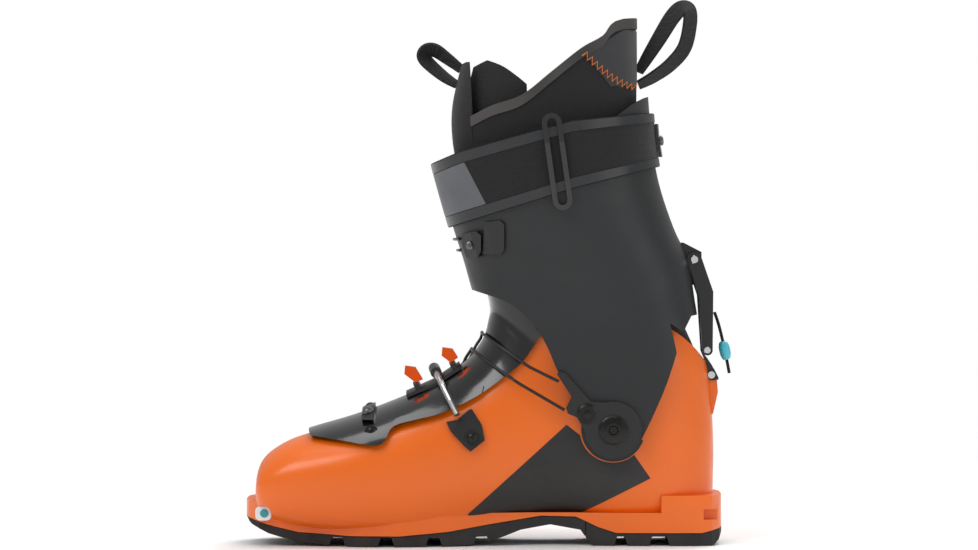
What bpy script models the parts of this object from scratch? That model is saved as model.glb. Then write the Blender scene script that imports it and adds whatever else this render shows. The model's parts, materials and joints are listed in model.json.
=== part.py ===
"""Right alpine touring ski boot: a lower shell with sole and inserts, a pivoting cuff, a split tongue,
a liner, buckles, a power strap and a rear ski/walk lock.

Frame: the origin is on the ground at the middle of the sole, +Z up, the toe towards -X, the medial
(big toe) side towards -Y. Lengths below are in millimetres, and MM turns them into metres.
"""

import math

import bmesh
import bpy
from mathutils import Vector
from mathutils.bvhtree import BVHTree

MM = 0.001
GAP = 0.35  # left between pieces that touch
MEDIAL, LATERAL = -1, 1

# Driving dimensions
TOE_POCKETS = ((MEDIAL, -34.0), (LATERAL, 29.6))  # side, and the y of each insert pocket's floor
PIVOT = Vector((81.2, 0.0, 74.0))  # ankle axis of the cuff
SHELL_WALL = 4.0
CUFF_WALL = 3.4
LINER_WALL = 7.5
LINER_GAP = 0.7
TONGUE_WALL = 2.8
TONGUE_GAP = 0.5
SPLIT_RADIUS = 115.0  # arc about PIVOT where the tongue and the liner's front divide
LINER_SPLIT_RADIUS = 90.0
COLLAR_RADIUS = 73.0  # top edge of the shell's ankle collar, about PIVOT
LOCK_UPPER = Vector((133.9, 0.0, 180.7))  # pivot of the lock bar on the cuff
LOCK_BEND = Vector((141.2, 0.0, 159.0))
LOCK_PIN = Vector((142.2, 0.0, 123.0))
LOCK_BOLT = Vector((144.9, 0.0, 107.2))  # bolt of the lock housing in the heel
RING_SEGMENTS = 28

# Each station of a form: front x, z, back x, z, half width, centre y, front and back squareness.
SHELL_STATIONS = [
    (-144.5, 37, -144.5, 26.5, 18, -9, 2.0, 2.0),
    (-143.2, 48, -143.6, 22.5, 30, -8, 2.2, 2.4),
    (-137.5, 57, -138.5, 17, 39, -7, 2.3, 2.8),
    (-124, 65.5, -124, 12.5, 46, -5, 2.4, 3.2),
    (-106, 71.5, -104, 9.2, 50.5, -3, 2.4, 3.4),
    (-82, 78.5, -76, 7.6, 54, -1, 2.3, 3.6),
    (-56, 88, -46, 7.6, 53, 1, 2.2, 3.6),
    (-30, 99.5, -16, 9.6, 48.5, 2, 2.2, 3.4),
    (-10, 113, 18, 15.5, 43.5, 1, 2.3, 3.2),
    (2, 128, 56, 18, 40.5, 0, 2.5, 3.2),
    (6, 141, 90, 9, 39.5, 0, 2.8, 3.0),
    (7, 148, 122, 8.3, 39.2, 0, 3.0, 2.8),
    (6.5, 153, 143, 18, 39.0, 0, 3.0, 2.5),
    (5.5, 158, 146.5, 48, 39.0, 0, 3.0, 2.3),
    (3.5, 164, 145.6, 84, 39.0, 0, 2.9, 2.2),
    (0.5, 172, 142, 116, 39.5, 0, 2.7, 2.2),
    (-5, 186, 127, 152, 41.0, 0, 2.5, 2.2),
    (-13, 210, 116, 188, 43.0, 0, 2.4, 2.2),
    (-21, 236, 107, 226, 45.5, 0, 2.3, 2.2),
    (-25, 258, 102.5, 262, 47.0, 0, 2.3, 2.2),
    (-24.8, 280, 102, 298, 47.5, 0, 2.3, 2.2),
    (-19, 306, 101.5, 345, 48.0, 0, 2.3, 2.2),
]
CUFF_STATIONS = [
    (22, 36, 136, 36, 44.8, 0, 5.0, 5.0),
    (13, 90, 137.5, 90, 44.8, 0, 4.6, 4.6),
    (1, 135, 137, 132, 45.2, 0, 3.8, 3.6),
    (-7.6, 161, 135, 154, 46.5, 0, 3.0, 2.8),
    (-13, 180, 131, 179, 48.2, 0, 2.6, 2.4),
    (-20, 202, 121, 201, 50.0, 0, 2.4, 2.3),
    (-27.5, 228, 111.5, 230, 52.2, 0, 2.3, 2.2),
    (-33, 250, 107, 258, 53.5, 0, 2.3, 2.2),
    (-39, 285, 104, 296, 54.0, 0, 2.3, 2.2),
]

# Outlines seen from the side: (x, z) pairs.
SOLE_EDGE = [
    (-151, 18.3), (-136, 13.5), (-117, 9), (-85, 7), (-53, 7), (-22, 9.6), (0.6, 13.4),
    (36, 19), (58, 18.5), (72, 12), (83.5, 8.3), (137.6, 8.3), (151.5, 11.5),
]
TONGUE_EDGE = [
    (-109.6, 70.1), (-88.5, 67.5), (-73.3, 65), (-66, 65), (-61.8, 68.2), (-56.7, 76.4),
    (-40.8, 80.9), (-26, 84.7), (-5.7, 94.3), (10, 105), (23, 115.3), (31, 126), (35.7, 133.8),
]
CUFF_FRONT = [
    (-60, 162.5), (-6.4, 161.2), (8.3, 156.7), (15.6, 153.5), (22.9, 148.4), (31, 140.5), (35.7, 133.8),
    (41, 123.5), (45.2, 113.4), (50, 104), (55.5, 94), (60, 85),
]
CUFF_REAR = [(99, 68), (105.7, 81.5), (115.3, 103.8), (124.8, 132.5), (131.2, 145.2), (170, 151)]
CUFF_TOP = [
    (-70, 226), (-45, 232), (-20, 238), (30, 250), (70, 262), (85, 272.5), (101, 283), (125, 290),
]
LINER_TOP = [
    (-60, 272), (-20.4, 268), (5, 278), (24, 284.7), (42.7, 299.4), (61.2, 314), (74.5, 321.7), (88, 333),
    (140, 336),
]
STRAP_TOP = [(-70, 230), (-45, 237), (-15, 249), (55, 268), (120, 275), (140, 276)]
STRAP_BOTTOM = [(-70, 190), (-40, 197), (-22, 201), (58, 226), (120, 242), (140, 246)]
ANCHOR = [
    (-23.6, 79), (-16.6, 80.3), (-9.6, 86.5), (-7.6, 87), (-1.3, 77.1), (0.6, 67.5), (-8.3, 60.5),
    (-12.1, 63.7), (-21, 73.3),
]
# Plan outline of the sole: (x, half width) pairs.
SOLE_PLAN = [
    (-151, 13), (-148.5, 24), (-142, 31.5), (-130, 34.3), (-107, 34.8), (-95, 38), (-78, 43),
    (-55, 45), (-30, 42), (0, 34), (30, 29.5), (60, 30), (80, 33.3), (110, 34.6), (134, 34.6),
    (144, 32), (149, 25), (151, 13),
]
TOE_LEDGE = 28.8  # height of the toe's binding ledge
HEEL_LEDGE = 31.9

COLOURS = {
    "orange_shell": (0.90, 0.20, 0.01, 0.35, 0.0),
    "cuff_grey": (0.045, 0.050, 0.054, 0.55, 0.0),
    "gloss_black": (0.012, 0.012, 0.013, 0.18, 0.0),
    "satin_black": (0.022, 0.022, 0.024, 0.45, 0.0),
    "rubber": (0.035, 0.034, 0.034, 0.8, 0.0),
    "liner_fabric": (0.020, 0.021, 0.023, 0.9, 0.0),
    "webbing": (0.015, 0.015, 0.016, 0.85, 0.0),
    "steel": (0.62, 0.62, 0.63, 0.25, 1.0),
    "dark_steel": (0.20, 0.19, 0.18, 0.35, 1.0),
    "insert_white": (0.82, 0.83, 0.84, 0.4, 0.0),
    "anodised_orange": (0.75, 0.11, 0.02, 0.3, 0.6),
    "bead_blue": (0.10, 0.55, 0.68, 0.35, 0.0),
    "footbed_foam": (0.10, 0.10, 0.11, 0.9, 0.0),
}


def clear_scene():
    for obj in list(bpy.data.objects):
        bpy.data.objects.remove(obj, do_unlink=True)


def material(name):
    made = bpy.data.materials.get(name)
    if made:
        return made
    made = bpy.data.materials.new(name)
    made.use_nodes = True
    shader = made.node_tree.nodes["Principled BSDF"]
    red, green, blue, roughness, metallic = COLOURS[name]
    shader.inputs["Base Color"].default_value = (red, green, blue, 1.0)
    shader.inputs["Roughness"].default_value = roughness
    shader.inputs["Metallic"].default_value = metallic
    return made


def spline(points, spans):
    """A Catmull-Rom curve through rows of numbers, with SPANS samples for each step."""
    last = len(points) - 1
    rows = []
    for i in range(last):
        before, here = points[max(i - 1, 0)], points[i]
        there, after = points[i + 1], points[min(i + 2, last)]
        for k in range(spans):
            t = k / spans
            rows.append(
                [
                    0.5 * (2 * b + (c - a) * t + (2 * a - 5 * b + 4 * c - d) * t * t
                           + (3 * b - a - 3 * c + d) * t ** 3)
                    for a, b, c, d in zip(before, here, there, after)
                ]
            )
    rows.append(list(points[-1]))
    return rows


def arc(centre, radius, start, end, steps):
    """Points in the XZ plane on an arc about centre, angles in degrees from +X towards +Z."""
    return [
        (centre[0] + radius * math.cos(math.radians(start + (end - start) * i / steps)),
         centre[1] + radius * math.sin(math.radians(start + (end - start) * i / steps)))
        for i in range(steps + 1)
    ]


def link(name, mesh, finish):
    obj = bpy.data.objects.new(name, mesh)
    bpy.context.scene.collection.objects.link(obj)
    if finish:
        mesh.materials.append(material(finish))
    return obj


def mesh_from(name, verts, faces, finish=None):
    mesh = bpy.data.meshes.new(name)
    mesh.from_pydata([Vector(v) * MM for v in verts], [], faces)
    solid = bmesh.new()
    solid.from_mesh(mesh)
    bmesh.ops.recalc_face_normals(solid, faces=solid.faces)
    solid.to_mesh(mesh)
    solid.free()
    return link(name, mesh, finish)


def section(row, grow_front, grow_back, grow):
    """One closed ring of a form: a squared ellipse between its front and its back point."""
    fx, fz, bx, bz, half, centre_y, square_front, square_back = row
    front = Vector((fx + grow_front[0] * grow, 0, fz + grow_front[1] * grow))
    back = Vector((bx + grow_back[0] * grow, 0, bz + grow_back[1] * grow))
    middle, reach = (front + back) / 2, (front - back) / 2
    ring = []
    for k in range(RING_SEGMENTS):
        angle = 2 * math.pi * k / RING_SEGMENTS
        c, s = math.cos(angle), math.sin(angle)
        power = 2 / (square_front if c > 0 else square_back)
        along = math.copysign(abs(c) ** power, c)
        across = math.copysign(abs(s) ** power, s)
        ring.append(middle + reach * along + Vector((0, centre_y + (half + grow) * across, 0)))
    return ring


def outward(rows, column, turn):
    """Unit normals in XZ along one edge of a form, turned away from its inside."""
    found = []
    for i in range(len(rows)):
        a, b = rows[max(i - 1, 0)], rows[min(i + 1, len(rows) - 1)]
        dx, dz = b[column] - a[column], b[column + 1] - a[column + 1]
        size = math.hypot(dx, dz) or 1.0
        found.append((-dz / size * turn, dx / size * turn))
    return found


def form(name, stations, grow=0.0, spans=1, finish=None):
    """A closed loft through the stations, grown outwards by GROW."""
    rows = spline(stations, spans)
    fronts, backs = outward(rows, 0, 1), outward(rows, 2, -1)
    verts, faces = [], []
    for row, front, back in zip(rows, fronts, backs):
        verts += section(row, front, back, grow)
    n = RING_SEGMENTS
    for i in range(len(rows) - 1):
        for k in range(n):
            a, b = i * n + k, i * n + (k + 1) % n
            faces.append((a, b, b + n, a + n))
    faces.append(tuple(range(n)))
    faces.append(tuple(range(len(verts) - 1, len(verts) - n - 1, -1)))
    return mesh_from(name, verts, faces, finish)


def side_prism(name, outline, low_y, high_y, finish=None):
    """A closed outline in XZ, extruded along Y."""
    n = len(outline)
    verts = [(x, low_y, z) for x, z in outline] + [(x, high_y, z) for x, z in outline]
    faces = [tuple(range(n)), tuple(range(2 * n - 1, n - 1, -1))]
    faces += [(i, (i + 1) % n, n + (i + 1) % n, n + i) for i in range(n)]
    return mesh_from(name, verts, faces, finish)


def plan_prism(name, outline, low_z, high_z, finish=None):
    """A closed outline in XY, extruded along Z."""
    n = len(outline)
    verts = [(x, y, low_z) for x, y in outline] + [(x, y, high_z) for x, y in outline]
    faces = [tuple(range(n)), tuple(range(2 * n - 1, n - 1, -1))]
    faces += [(i, (i + 1) % n, n + (i + 1) % n, n + i) for i in range(n)]
    return mesh_from(name, verts, faces, finish)


def turned(name, profile, place, axis, steps=20, finish=None):
    """A turned solid: (radius, height) pairs about an axis through place, closed on the axis."""
    axis = Vector(axis).normalized()
    to_axis = axis.to_track_quat("Z", "Y").to_matrix()
    verts = [Vector((0, 0, profile[0][1]))]
    for radius, height in profile:
        for k in range(steps):
            angle = 2 * math.pi * k / steps
            verts.append(Vector((radius * math.cos(angle), radius * math.sin(angle), height)))
    verts.append(Vector((0, 0, profile[-1][1])))
    faces = []
    for k in range(steps):
        after = (k + 1) % steps
        faces.append((0, 1 + after, 1 + k))
        for i in range(len(profile) - 1):
            a, b = 1 + i * steps + k, 1 + i * steps + after
            faces.append((a, b, b + steps, a + steps))
        top = 1 + (len(profile) - 1) * steps
        faces.append((len(verts) - 1, top + k, top + after))
    placed = [to_axis @ v + Vector(place) for v in verts]
    return mesh_from(name, placed, faces, finish)


def rod(name, start, end, radius, steps=16, finish=None):
    start, end = Vector(start), Vector(end)
    return turned(name, [(radius, 0), (radius, (end - start).length)], start, end - start, steps, finish)


def tube(name, points, radius, finish, resolution=2, cyclic=False):
    """A round cord along a smooth path of points."""
    curve = bpy.data.curves.new(name, "CURVE")
    curve.dimensions = "3D"
    path = curve.splines.new("POLY")
    path.points.add(len(points) - 1)
    for spot, point in zip(path.points, points):
        spot.co = (*(Vector(point) * MM), 1)
    path.use_cyclic_u = cyclic
    curve.bevel_depth = radius * MM
    curve.bevel_resolution = resolution
    curve.use_fill_caps = not cyclic
    curve.materials.append(material(finish))
    obj = bpy.data.objects.new(name, curve)
    bpy.context.scene.collection.objects.link(obj)
    return obj


def combine(obj, other, operation):
    """Applies one Boolean at once and removes the other solid."""
    modifier = obj.modifiers.new("combine", "BOOLEAN")
    modifier.operation = operation
    modifier.object = other
    modifier.solver = "EXACT"
    graph = bpy.context.evaluated_depsgraph_get()
    graph.update()
    result = bpy.data.meshes.new_from_object(obj.evaluated_get(graph))
    obj.modifiers.clear()
    old = obj.data
    obj.data = result
    result.name = obj.name
    solid = bmesh.new()
    solid.from_mesh(result)
    bmesh.ops.remove_doubles(solid, verts=solid.verts, dist=0.004 * MM)
    bmesh.ops.dissolve_degenerate(solid, dist=0.004 * MM, edges=solid.edges)
    solid.to_mesh(result)
    solid.free()
    bpy.data.meshes.remove(old)
    bpy.data.objects.remove(other, do_unlink=True)
    return obj


def cut(obj, other):
    return combine(obj, other, "DIFFERENCE")


def keep(obj, other):
    return combine(obj, other, "INTERSECT")


def add(obj, other):
    return combine(obj, other, "UNION")


def shade(obj, angle=35):
    obj.data.shade_smooth()
    obj.data.set_sharp_from_angle(angle=math.radians(angle))
    return obj


def tree_of(obj):
    return BVHTree.FromPolygons(
        [v.co.copy() for v in obj.data.vertices], [tuple(p.vertices) for p in obj.data.polygons]
    )


def side_y(tree, x, z, side):
    """The y of a form's surface at (x, z), seen from the medial or the lateral side."""
    start = Vector((x * MM, side * 0.3, z * MM))
    place, _, _, _ = tree.ray_cast(start, Vector((0, -side, 0)))
    return place.y / MM


def patch(name, outline, stations, low, high, side, finish):
    """A plate that follows a form, between LOW and HIGH above it; side 0 runs right across."""
    low_y, high_y = (-90, 90) if side == 0 else sorted((2 * side, 90 * side))
    piece = side_prism(name, outline, low_y, high_y, finish)
    keep(piece, form("grown", stations, high))
    return cut(piece, form("kept clear", stations, low))


def plan_outline(inset=0.0):
    near = [(x, -(half - inset)) for x, half in SOLE_PLAN]
    far = [(x, half - inset) for x, half in reversed(SOLE_PLAN)]
    return near + far


def board_line(rise):
    """The sloped top of the boot board, raised by RISE."""
    return [(-160, 24 + rise), (-62, 24 + rise), (-20, 28 + rise), (60, 35 + rise), (170, 36 + rise)]


def box_outline(x0, z0, x1, z1):
    return [(x0, z0), (x1, z0), (x1, z1), (x0, z1)]


def bore(obj, radius):
    """A hole along the ankle axis."""
    return cut(obj, rod("bore", (PIVOT.x, -70, PIVOT.z), (PIVOT.x, 70, PIVOT.z), radius, 24))


def tongue_outline():
    split = arc((PIVOT.x, PIVOT.z), SPLIT_RADIUS - 0.3, 128, 150, 8)
    return TONGUE_EDGE + [(26, 148)] + split + [(-60, 131), (-125, 95)]


def tongue_lower():
    low, high = TONGUE_GAP, TONGUE_GAP + TONGUE_WALL
    return shade(patch("tongue_lower", tongue_outline(), SHELL_STATIONS, low, high, 0, "gloss_black"))


def tongue_upper():
    """The part of the tongue that stays inside the cuff and leans with it."""
    low, high = TONGUE_GAP - 2.6, TONGUE_GAP + 0.2
    split = arc((PIVOT.x, PIVOT.z), SPLIT_RADIUS + 0.4, 150, 114, 8)
    outline = split + [(24, 218), (-60, 218), (-60, 131)]
    return shade(patch("tongue_upper", outline, SHELL_STATIONS, low, high, 0, "gloss_black"))


def cuff_shell():
    cuff = form("cuff_shell", CUFF_STATIONS, 0, 1, "cuff_grey")
    cut(cuff, form("inside", CUFF_STATIONS, -CUFF_WALL))
    lower = arc((PIVOT.x, PIVOT.z), 20, 165, 340, 16)
    outline = CUFF_FRONT + lower + CUFF_REAR + list(reversed(CUFF_TOP))
    keep(cuff, side_prism("edge", outline, -90, 90))
    # Room for the shell's ankle at every lean.
    cut(cuff, rod("room", (PIVOT.x, -40.4, PIVOT.z), (PIVOT.x, 40.4, PIVOT.z), 75.8, 48))
    bore(cuff, 4.4)
    cut(cuff, side_prism("overlap slit", box_outline(-70, 100, 8, 300), 13, 14.4))
    for side in (MEDIAL, LATERAL):
        cut(cuff, rod("bar room", (LOCK_UPPER.x, side * 8.4, LOCK_UPPER.z),
                      (LOCK_UPPER.x, side * 14.4, LOCK_UPPER.z), 5.4, 24))
    notch = [(112, 110), (160, 110), (160, 168), (112, 162)]
    return shade(cut(cuff, side_prism("lock notch", notch, -13.7, 13.7)))


def lower_shell():
    shell = form("lower_shell", SHELL_STATIONS, 0, 1, "orange_shell")
    toe = plan_prism("toe", plan_outline(), 2, TOE_LEDGE)
    keep(toe, side_prism("front", [(-170, 0), (-98, 0), (-98, 40), (-170, 40)], -80, 80))
    heel = plan_prism("heel", plan_outline(), 2, HEEL_LEDGE)
    keep(heel, side_prism("back", [(112, 0), (170, 0), (170, 40), (112, 40)], -80, 80))
    waist = plan_prism("waist", plan_outline(), 2, 21)
    keep(waist, side_prism("middle", [(-99, 0), (113, 0), (113, 30), (-99, 30)], -80, 80))
    add(add(add(shell, toe), heel), waist)
    below = SOLE_EDGE + [(170, 11.5), (170, -20), (-170, -20), (-170, 18.3)]
    cut(shell, side_prism("below", below, -90, 90))
    cut(shell, form("inside", SHELL_STATIONS, -SHELL_WALL))
    # The throat under the tongue, and everything above the ankle collar.
    throat = [(-62, 100), (-54, 84)] + [(x + 2.5, z + 7) for x, z in TONGUE_EDGE[6:]]
    collar = arc((PIVOT.x, PIVOT.z), COLLAR_RADIUS, 128, 36, 16)
    above = throat + collar + [(170, 120), (170, 380), (-140, 380), (-140, 110), (-62, 110)]
    cut(shell, side_prism("above", above, -90, 90))
    bore(shell, 4.4)
    for side, depth in TOE_POCKETS:
        cut(shell, turned("pocket", [(5.0, 0), (5.0, 12)], (-139, depth, 21), (0, side, 0)))
    cut(shell, side_prism("heel pocket", box_outline(147.4, 12.2, 160, 28.3), -8.4, 8.4))
    return shade(shell)


def outsole(name, start, end, gaps):
    """A rubber sole block between two x, with tapered gaps between its lugs."""
    forefoot = [(-149.5, 16), (-147, 13.5), (-136, 8), (-120, 3.5), (-100, 1), (-60, 0), (-20, 0)]
    waist = [(0, 2), (10, 5), (23, 10), (42, 13.4), (61, 10), (66, 3)]
    bottom = forefoot + waist + [(69, 0), (145, 0), (149, 4), (151.5, 9)]
    outline = bottom + [(x, z - GAP) for x, z in reversed(SOLE_EDGE)]
    piece = plan_prism(name, plan_outline(0.8), -1, 30, "rubber")
    keep(piece, side_prism("profile", outline, -80, 80))
    keep(piece, side_prism("range", [(start, -5), (end, -5), (end, 40), (start, 40)], -80, 80))
    for low, high in gaps:
        left = [(low + 1.2, 6), (low - 0.6, 1), (low - 1, -5)]
        right = [(high + 1, -5), (high + 0.6, 1), (high - 1.2, 6)]
        cut(piece, side_prism("notch", left + right, -80, 80))
    channel = plan_prism("channel", box_outline(start + 22, -9, end - 20, 9), -5, 4)
    return shade(cut(piece, channel))


def boot_board():
    board = form("boot_board", SHELL_STATIONS, -SHELL_WALL - LINER_GAP, 1, "satin_black")
    top = board_line(0)
    return shade(cut(board, side_prism("above", top + [(170, 380), (-160, 380)], -90, 90)))


def footbed():
    inner = -SHELL_WALL - LINER_GAP - LINER_WALL - GAP
    bed = form("footbed", SHELL_STATIONS, inner, 1, "footbed_foam")
    cut(bed, side_prism("above", board_line(9) + [(170, 380), (-160, 380)], -90, 90))
    cut(bed, side_prism("below", board_line(5.4) + [(170, -20), (-160, -20)], -90, 90))
    return shade(bed)


def liner(name, finish):
    """The whole liner as one hollow boot, open at the top."""
    skin = form(name, SHELL_STATIONS, -SHELL_WALL - LINER_GAP, 1, finish)
    cut(skin, side_prism("below", board_line(GAP) + [(170, -20), (-160, -20)], -90, 90))
    hollow = form("hollow", SHELL_STATIONS, -SHELL_WALL - LINER_GAP - LINER_WALL, 1)
    cut(hollow, side_prism("floor", board_line(5) + [(170, -20), (-160, -20)], -90, 90))
    return cut(skin, hollow)


def liner_foot():
    foot = liner("liner_foot", "liner_fabric")
    centre = (PIVOT.x, PIVOT.z)
    above = arc(centre, SPLIT_RADIUS, 175, 131, 10) + arc(centre, LINER_SPLIT_RADIUS, 131, 30, 20)
    above += [(200, 119), (200, 400), (-160, 400), (-160, 84)]
    return shade(cut(foot, side_prism("above", above, -90, 90)))


def liner_cuff():
    """The liner's leg part, with its tongue slot open at the front."""
    leg = liner("liner_cuff", "liner_fabric")
    centre = (PIVOT.x, PIVOT.z)
    high, low = SPLIT_RADIUS + 1, LINER_SPLIT_RADIUS + 0.6
    below = arc(centre, high, 150, 108, 10) + arc(centre, low, 108, 30, 18)
    cut(leg, side_prism("below", below + [(200, 119), (200, -20), (-200, -20), (-200, 131)], -90, 90))
    cut(leg, side_prism("above", LINER_TOP + [(140, 400), (-60, 400)], -90, 90))
    slot = side_prism("slot", [(-80, 120), (18, 120), (-4, 220), (-10, 400), (-80, 400)], -30, 30)
    return shade(cut(leg, slot))


def liner_tongue():
    leg = liner("liner_tongue", "liner_fabric")
    outline = arc((PIVOT.x, PIVOT.z), SPLIT_RADIUS + 1, 150, 130.5, 6)
    outline += [(-4.6, 220), (-7, 270), (-9, 306), (-60, 306), (-80, 120)]
    return shade(keep(leg, side_prism("slot", outline, -29.4, 29.4)))


def stud(name, x, z, side, stations, base, profile, finish):
    """A fastener head that sits on a form grown by BASE, its foot cut to the form."""
    tree = tree_of_form(stations, base)
    head = turned(name, profile, (x, side_y(tree, x, z, side), z), (0, side, 0), 20, finish)
    return cut(head, form("seat", stations, base + GAP))


def tree_of_form(stations, grow):
    solid = form("skin", stations, grow)
    tree = tree_of(solid)
    bpy.data.objects.remove(solid, do_unlink=True)
    return tree


def domed(radius, height, foot=-4.0, washer=0.0):
    """Profile of a screw head, with a washer under it where one is given."""
    profile = [(radius + washer, foot), (radius + washer, 1.0)] if washer else [(radius, foot)]
    profile += [(radius, 1.0 if washer else height * 0.55), (radius * 0.92, height * 0.75)]
    return profile + [(radius * 0.6, height * 0.95), (radius * 0.3, height), (radius * 0.28, height - 0.8)]


def inserts():
    for word, (side, depth) in zip(("medial", "lateral"), TOE_POCKETS):
        profile = [(4.6, 0.4), (4.6, 3.3), (2.6, 3.3), (1.8, 2.0)]
        turned("toe_insert_" + word, profile, (-139, depth, 21), (0, side, 0), 20, "steel")
    plate = side_prism("heel_insert", box_outline(147.8, 12.6, 151, 27.9), -8.0, 8.0, "insert_white")
    shade(plate)


def tongue_hinge():
    rise = TONGUE_GAP + TONGUE_WALL + GAP
    outline = [(-77.3, 80), (-69.7, 80), (-69.7, 100), (-77.3, 96)]
    shade(patch("tongue_hinge_bracket", outline, SHELL_STATIONS, rise, rise + 2.4, 0, "satin_black"))
    for word, side in (("medial", MEDIAL), ("lateral", LATERAL)):
        shade(stud("tongue_hinge_screw_" + word, -73.3, 84.3, side, SHELL_STATIONS, rise + 2.4,
                   domed(2.6, 2.2, washer=1.2), "dark_steel"))
        shade(stud("tongue_anchor_screw_" + word, -70.7, 73.0, side, SHELL_STATIONS, TONGUE_GAP + TONGUE_WALL,
                   domed(2.8, 2.4, washer=1.4), "steel"))


def anchors():
    shade(patch("anchor_bracket", ANCHOR, SHELL_STATIONS, GAP, 3.2, MEDIAL, "satin_black"))
    head = domed(3.4, 2.6, washer=1.5)
    shade(stud("anchor_screw", -7.2, 68.8, MEDIAL, SHELL_STATIONS, 3.2, head, "steel"))


def cable_carriers():
    centre = (PIVOT.x, PIVOT.z)
    outline = [(45.9, 109), (47, 111), (51, 110), (67, 92)] + arc(centre, 18.0, 105, -170, 26)
    outline += [(63, 74), (58.5, 82), (52.5, 84.5), (51.5, 88), (55, 95)]
    for word, side in (("medial", MEDIAL), ("lateral", LATERAL)):
        low, high = sorted((side * 46.1, side * 48.9))
        carrier = side_prism("cable_carrier_" + word, outline, low, high, "satin_black")
        shade(bore(carrier, 4.4))
        shank = [(4.0, 36.4), (4.0, 49.3)]
        profile = shank + [(9.3, 49.3), (9.3, 50.2), (8.2, 51.0), (4.4, 51.6), (3.0, 51.6), (2.4, 50.4)]
        shade(turned("pivot_bolt_" + word, profile, (PIVOT.x, 0, PIVOT.z), (0, side, 0), 28, "steel"))
    profile = [(6.6, 49.3), (6.6, 49.7), (5.2, 50.3), (2.4, 50.3), (2.4, 50.9), (1.2, 51.2)]
    shade(turned("cable_pulley", profile, (65.0, 0, 84.2), (0, MEDIAL, 0), 24, "dark_steel"))


def cuff_catch():
    plate = [(-1, 184.5), (10.5, 184), (12.7, 187), (12.7, 203), (10, 205.5), (0.5, 204.5)]
    shade(patch("catch_plate", plate, CUFF_STATIONS, GAP, 2.0, MEDIAL, "satin_black"))
    bracket = [(-14, 184), (-11, 182.2), (-4, 182.2), (-1.9, 186), (-1.9, 196), (-5, 198.7), (-14, 197)]
    shade(patch("catch_bracket", bracket, CUFF_STATIONS, GAP, 3.4, MEDIAL, "satin_black"))
    shade(stud("catch_screw", -8.6, 189.8, MEDIAL, CUFF_STATIONS, 3.4, domed(2.9, 2.0), "steel"))


def lock():
    bracket = [(118, 190), (127, 191.5), (138.6, 185.5), (138.6, 177), (131.5, 168.6), (118, 170)]
    block = side_prism("lock_bracket", bracket, -8, 8, "satin_black")
    cut(block, form("seat", CUFF_STATIONS, GAP))
    upper, bend, low = LOCK_UPPER, LOCK_BEND, LOCK_PIN
    cut(block, rod("bore", (upper.x, -20, upper.z), (upper.x, 20, upper.z), 2.7, 20))
    shade(block)
    shade(rod("lock_bar_pin", (upper.x, -13.6, upper.z), (upper.x, 13.6, upper.z), 2.3, 20, "steel"))
    outline = arc((upper.x, upper.z), 4.65, 200, 20, 10) + [(bend.x + 4.7, bend.z + 1.2)]
    outline += arc((low.x, low.z), 3.4, 10, -190, 10) + [(bend.x - 4.6, bend.z - 1.2)]
    bar = side_prism("lock_bar", outline, -12, 12, "satin_black")
    hollow = [(126, 195), (145, 195), (145, 174), (141.6, 168), (143.7, 160), (143.4, 112), (126, 112)]
    cut(bar, side_prism("channel", hollow, -9, 9))
    cut(bar, rod("bore", (upper.x, -20, upper.z), (upper.x, 20, upper.z), 2.7, 20))
    cut(bar, rod("bore", (low.x, -20, low.z), (low.x, 20, low.z), 2.35, 20))
    shade(bar)
    shade(rod("lock_pin", (low.x, -12.8, low.z), (low.x, 12.8, low.z), 2.0, 20, "steel"))
    centre = (PIVOT.x, PIVOT.z)
    housing = [(128, 104), (149.5, 104), (149.5, 130), (128, 130)]
    block = side_prism("lock_housing", housing, -8, 8, "satin_black")
    keep(block, side_prism("sweep", arc(centre, 75.2, -10, 60, 20) + [centre], -20, 20))
    cut(block, form("seat", SHELL_STATIONS, GAP))
    bolt = LOCK_BOLT
    shade(cut(block, rod("bore", (bolt.x, -20, bolt.z), (bolt.x, 20, bolt.z), 1.6, 16)))
    spine = [(140, 84), (146, 82), (149.2, 96), (148.6, 103.6), (136, 103.6)]
    block = side_prism("heel_spine", spine, -6.5, 6.5, "anodised_orange")
    shade(cut(block, form("seat", SHELL_STATIONS, GAP)))
    bolt = [(2.3, -10.0), (2.3, -8.4), (1.3, -8.4), (1.3, 8.4), (2.3, 8.4), (2.3, 10.0)]
    shade(turned("lock_housing_bolt", bolt, (LOCK_BOLT.x, 0, LOCK_BOLT.z), (0, 1, 0), 16, "steel"))


def rack():
    low = TONGUE_GAP + TONGUE_WALL + GAP
    base = [(-48, 86), (-36, 80), (-10, 98), (-19, 124), (-52, 112)]
    whole = form("buckle_rack", SHELL_STATIONS, low + 1.9, 1, "satin_black")
    keep(whole, side_prism("area", base, -17, 17))
    ribs = []
    for x, z in ((-45.2, 103.8), (-21.5, 115.5)):
        rib = [(x - 4.3, z + 5.5), (x - 1.3, z + 7.2), (x + 8.5, z - 10.5), (x + 5.5, z - 12)]
        solid = form("rib", SHELL_STATIONS, low + 5.2)
        ribs.append(keep(solid, side_prism("slab", rib, -16, 16)))
    for rib in ribs:
        add(whole, rib)
    shade(cut(whole, form("seat", SHELL_STATIONS, low)))
    # Two orange guides stand on the rack and hold the bail's barrel.
    rise = low + 5.2 + GAP
    for name, x, z in (("rack_guide_front", -45.2, 103.8), ("rack_guide_rear", -21.5, 115.5)):
        guide = [(x - 5.5, z + 4), (x - 5, z + 9.3), (x + 1.5, z + 8.4), (x + 8.6, z - 3), (x + 5, z - 4)]
        block = side_prism(name, guide, -12, -4, "anodised_orange")
        shade(cut(block, form("seat", SHELL_STATIONS, rise)))


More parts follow.
